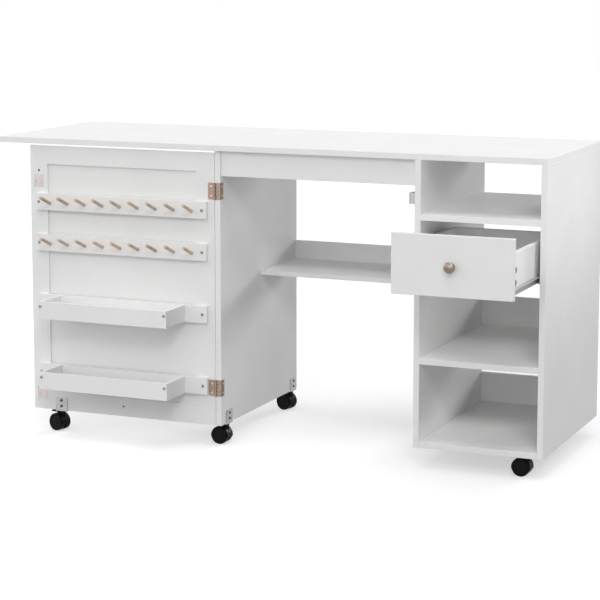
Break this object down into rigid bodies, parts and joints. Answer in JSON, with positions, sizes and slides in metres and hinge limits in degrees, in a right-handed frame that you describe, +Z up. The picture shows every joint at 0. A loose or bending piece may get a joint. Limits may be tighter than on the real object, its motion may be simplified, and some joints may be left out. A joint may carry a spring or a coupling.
{
  "type": "folding sewing table",
  "caption": "White folding sewing table on casters with a drop leaf, knee space, open shelf cabinet with a drawer, and a fold-out door with thread pegs and trays",
  "frame": {"origin": "middle of the whole table on the floor, with the leaf up, the door open and the drawer drawn out", "axes": "+X along the table from the leaf to the cabinet, +Y from the front to the back, +Z up"},
  "size_m": [1.475, 0.729, 0.77],
  "materials": {
    "white_laminate": "satin white laminate on engineered board",
    "antique_hinge_metal": "antique rose-brown plating, lightly brushed",
    "knob_metal": "satin rose nickel",
    "strike_metal": "pale plated steel",
    "zinc_steel": "bright zinc plate",
    "slide_enamel": "light grey epoxy coat",
    "roller_nylon": "moulded white nylon",
    "beech": "plain sanded beech",
    "black_nylon": "moulded black nylon, soft gloss",
    "black_steel": "black coated steel",
    "dark_zinc": "dark die-cast zinc"
  },
  "bodies": {
    "frame": {"tabletop": "white_laminate", "leg_panel": "white_laminate", "apron": "white_laminate", "knee_shelf": "white_laminate", "knee_back_rail": "white_laminate", "cabinet_left_panel": "white_laminate", "cabinet_right_panel": "white_laminate", "upper_shelf": "white_laminate", "lower_shelf": "white_laminate", "bottom_board": "white_laminate", "middle_back_rail": "white_laminate", "lower_back_rail": "white_laminate", "cam_locks": "zinc_steel", "leaf_hinge_plates": "zinc_steel", "door_hinge_wraps": "antique_hinge_metal", "door_hinge_pins": "antique_hinge_metal", "magnetic_catch": "zinc_steel", "cabinet_slide_rails": "slide_enamel", "leg_caster_brackets": "zinc_steel", "cabinet_caster_plates": "black_steel"},
    "cabinet_rollers": {"cabinet_slide_rollers": "roller_nylon"},
    "leaf": {"drop_leaf": "white_laminate", "leaf_hinge_flaps": "zinc_steel"},
    "door": {"door_stiles": "white_laminate", "door_rails": "white_laminate", "door_panel": "white_laminate", "upper_peg_rail": "white_laminate", "lower_peg_rail": "white_laminate", "upper_pegs": "beech", "lower_pegs": "beech", "tray_rails": "white_laminate", "tray_fronts": "white_laminate", "tray_ends": "white_laminate", "tray_bottoms": "white_laminate", "door_hinge_leaves": "antique_hinge_metal", "strike_plates": "strike_metal", "door_screws": "zinc_steel", "door_caster_bracket": "zinc_steel"},
    "drawer": {"drawer_front": "white_laminate", "drawer_left_side": "white_laminate", "drawer_right_side": "white_laminate", "drawer_back": "white_laminate", "drawer_bottom": "white_laminate", "drawer_knob": "knob_metal", "drawer_runners": "slide_enamel", "drawer_cam_locks": "dark_zinc"},
    "runner_rollers": {"drawer_runner_rollers": "roller_nylon"},
    "door_caster": {"door_caster_housing": "black_nylon"},
    "door_caster_wheels": {"door_caster_wheels": "black_nylon"},
    "door_caster_brake": {"door_caster_brake": "black_nylon"},
    "leg_front_caster": {"leg_front_caster_housing": "black_nylon"},
    "leg_front_caster_wheels": {"leg_front_caster_wheels": "black_nylon"},
    "leg_front_caster_brake": {"leg_front_caster_brake": "black_nylon"},
    "leg_rear_caster": {"leg_rear_caster_housing": "black_nylon"},
    "leg_rear_caster_wheels": {"leg_rear_caster_wheels": "black_nylon"},
    "cabinet_front_caster": {"cabinet_front_caster_housing": "black_nylon"},
    "cabinet_front_caster_wheels": {"cabinet_front_caster_wheels": "black_nylon"},
    "cabinet_front_caster_brake": {"cabinet_front_caster_brake": "black_nylon"},
    "cabinet_rear_caster": {"cabinet_rear_caster_housing": "black_nylon"},
    "cabinet_rear_caster_wheels": {"cabinet_rear_caster_wheels": "black_nylon"}
  },
  "joints": [
    {"name": "door_swing", "type": "hinge", "parent": "frame", "child": "door", "pos_m": [-0.121, -0.1308, 0.385], "axis": [0, 0, 1], "range_deg": [0, 180]},
    {"name": "leaf_drop", "type": "hinge", "parent": "frame", "child": "leaf", "pos_m": [-0.1253, 0.1145, 0.7507], "axis": [0, -1, 0], "range_deg": [0, 90]},
    {"name": "drawer_slide", "type": "slide", "parent": "frame", "child": "drawer", "axis": [0, -1, 0], "range_m": [-0.205, 0.15]},
    {"name": "cabinet_roller_spin", "type": "hinge", "parent": "frame", "child": "cabinet_rollers", "pos_m": [0, -0.1065, 0.482], "axis": [1, 0, 0], "continuous": true},
    {"name": "runner_roller_spin", "type": "hinge", "parent": "drawer", "child": "runner_rollers", "pos_m": [0, 0.0625, 0.4799], "axis": [1, 0, 0], "continuous": true},
    {"name": "door_caster_swivel", "type": "hinge", "parent": "door", "child": "door_caster", "pos_m": [-0.568, -0.12, 0.053], "axis": [0, 0, 1], "continuous": true},
    {"name": "door_caster_spin", "type": "hinge", "parent": "door_caster", "child": "door_caster_wheels", "pos_m": [-0.58061, -0.11686, 0.022], "axis": [0.2419, 0.9703, 0], "continuous": true},
    {"name": "door_caster_brake_press", "type": "hinge", "parent": "door_caster", "child": "door_caster_brake", "pos_m": [-0.5777, -0.11758, 0.0487], "axis": [-0.2419, -0.9703, 0], "range_deg": [0, 12]},
    {"name": "leg_front_caster_swivel", "type": "hinge", "parent": "frame", "child": "leg_front_caster", "pos_m": [-0.1135, -0.0815, 0.053], "axis": [0, 0, 1], "continuous": true},
    {"name": "leg_front_caster_spin", "type": "hinge", "parent": "leg_front_caster", "child": "leg_front_caster_wheels", "pos_m": [-0.1265, -0.0815, 0.022], "axis": [0, 1, 0], "continuous": true},
    {"name": "leg_front_caster_brake_press", "type": "hinge", "parent": "leg_front_caster", "child": "leg_front_caster_brake", "pos_m": [-0.1235, -0.0815, 0.0487], "axis": [0, -1, 0], "range_deg": [0, 12]},
    {"name": "leg_rear_caster_swivel", "type": "hinge", "parent": "frame", "child": "leg_rear_caster", "pos_m": [-0.1135, 0.3325, 0.053], "axis": [0, 0, 1], "continuous": true},
    {"name": "leg_rear_caster_spin", "type": "hinge", "parent": "leg_rear_caster", "child": "leg_rear_caster_wheels", "pos_m": [-0.12611, 0.33565, 0.022], "axis": [0.2419, 0.9703, 0], "continuous": true},
    {"name": "cabinet_front_caster_swivel", "type": "hinge", "parent": "frame", "child": "cabinet_front_caster", "pos_m": [0.6875, -0.0905, 0.053], "axis": [0, 0, 1], "continuous": true},
    {"name": "cabinet_front_caster_spin", "type": "hinge", "parent": "cabinet_front_caster", "child": "cabinet_front_caster_wheels", "pos_m": [0.6745, -0.0905, 0.022], "axis": [0, 1, 0], "continuous": true},
    {"name": "cabinet_front_caster_brake_press", "type": "hinge", "parent": "cabinet_front_caster", "child": "cabinet_front_caster_brake", "pos_m": [0.6775, -0.0905, 0.0487], "axis": [0, -1, 0], "range_deg": [0, 12]},
    {"name": "cabinet_rear_caster_swivel", "type": "hinge", "parent": "frame", "child": "cabinet_rear_caster", "pos_m": [0.5775, 0.3045, 0.053], "axis": [0, 0, 1], "continuous": true},
    {"name": "cabinet_rear_caster_spin", "type": "hinge", "parent": "cabinet_rear_caster", "child": "cabinet_rear_caster_wheels", "pos_m": [0.5645, 0.3045, 0.022], "axis": [0, 1, 0], "continuous": true}
  ],
  "couplings": [
    {"joint": "leaf_drop", "follows": "door_swing", "ratio": 0.5},
    {"joint": "cabinet_roller_spin", "follows": "drawer_slide", "rad_per_m": 142.86},
    {"joint": "runner_roller_spin", "follows": "drawer_slide", "rad_per_m": 142.86}
  ]
}
